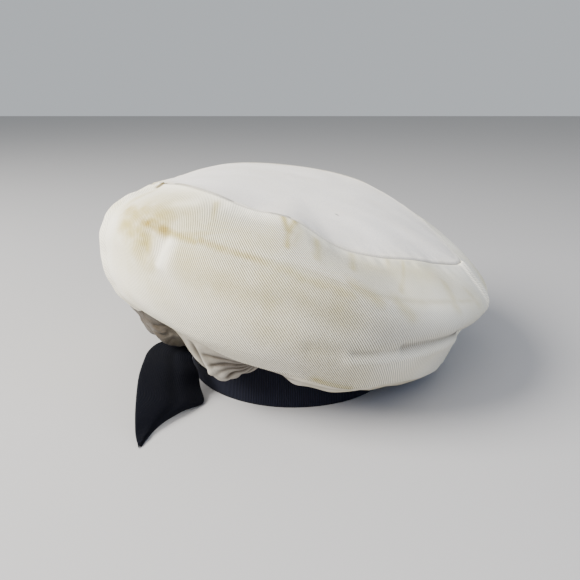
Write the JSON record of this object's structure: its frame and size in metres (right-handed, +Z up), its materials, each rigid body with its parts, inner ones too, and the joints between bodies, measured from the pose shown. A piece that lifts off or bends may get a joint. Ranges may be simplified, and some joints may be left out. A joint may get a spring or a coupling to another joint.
{
  "type": "sailor cap",
  "caption": "Soft sailor cap with a round flat tip, twill side panels gathered under into a ribbed headband, and a hanging ribbon tail.",
  "frame": {"origin": "on the surface the cap rests on, under the middle of its outer box", "axes": "+Z up along the headband's axis; -Y towards the side with the long front panel; the ribbon tail hangs at -X, -Y"},
  "size_m": [0.309, 0.3134, 0.161],
  "materials": {
    "plain_white": "fine plain-weave cotton, matte, slightly yellowed",
    "white_twill": "heavy diagonal twill cotton, matte, aged and stained along its folds",
    "navy_rib": "fine ribbed navy ribbon cloth, matte"
  },
  "bodies": {
    "root": {"crown_tip": "plain_white", "side_front": "white_twill", "side_back": "white_twill", "crown_underside": "plain_white", "band": "navy_rib", "tail": "navy_rib"}
  },
  "joints": []
}
